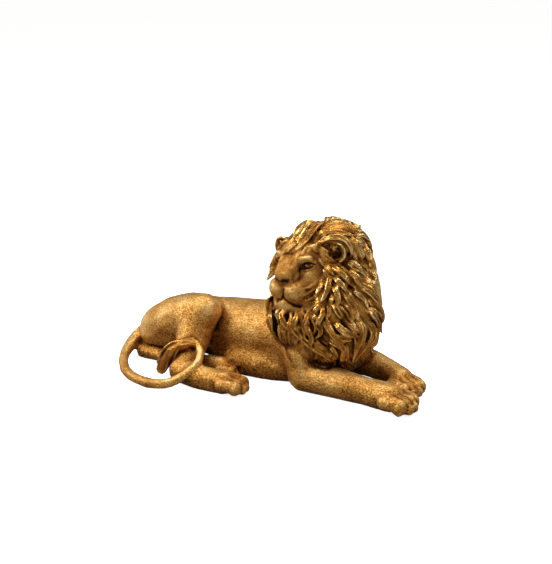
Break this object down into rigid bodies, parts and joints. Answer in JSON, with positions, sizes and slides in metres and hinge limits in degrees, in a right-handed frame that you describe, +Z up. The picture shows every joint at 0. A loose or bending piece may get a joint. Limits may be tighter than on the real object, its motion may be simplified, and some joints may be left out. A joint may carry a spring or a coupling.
{
  "type": "lion statue",
  "caption": "Gilded resin lion lying with its forelegs out in front, its maned head turned to its right and its tail curled beside it; stands by its own weight as an ornament.",
  "frame": {"origin": "on the underside, at the middle of the statue's length and width", "axes": "+X from the rump to the forepaws, +Y to the lion's left, +Z up"},
  "size_m": [0.5658, 0.2744, 0.278],
  "materials": {
    "gold": "antique gold leaf over resin, warm brown in the hollows"
  },
  "bodies": {
    "root": {"lion": "gold"}
  },
  "joints": []
}
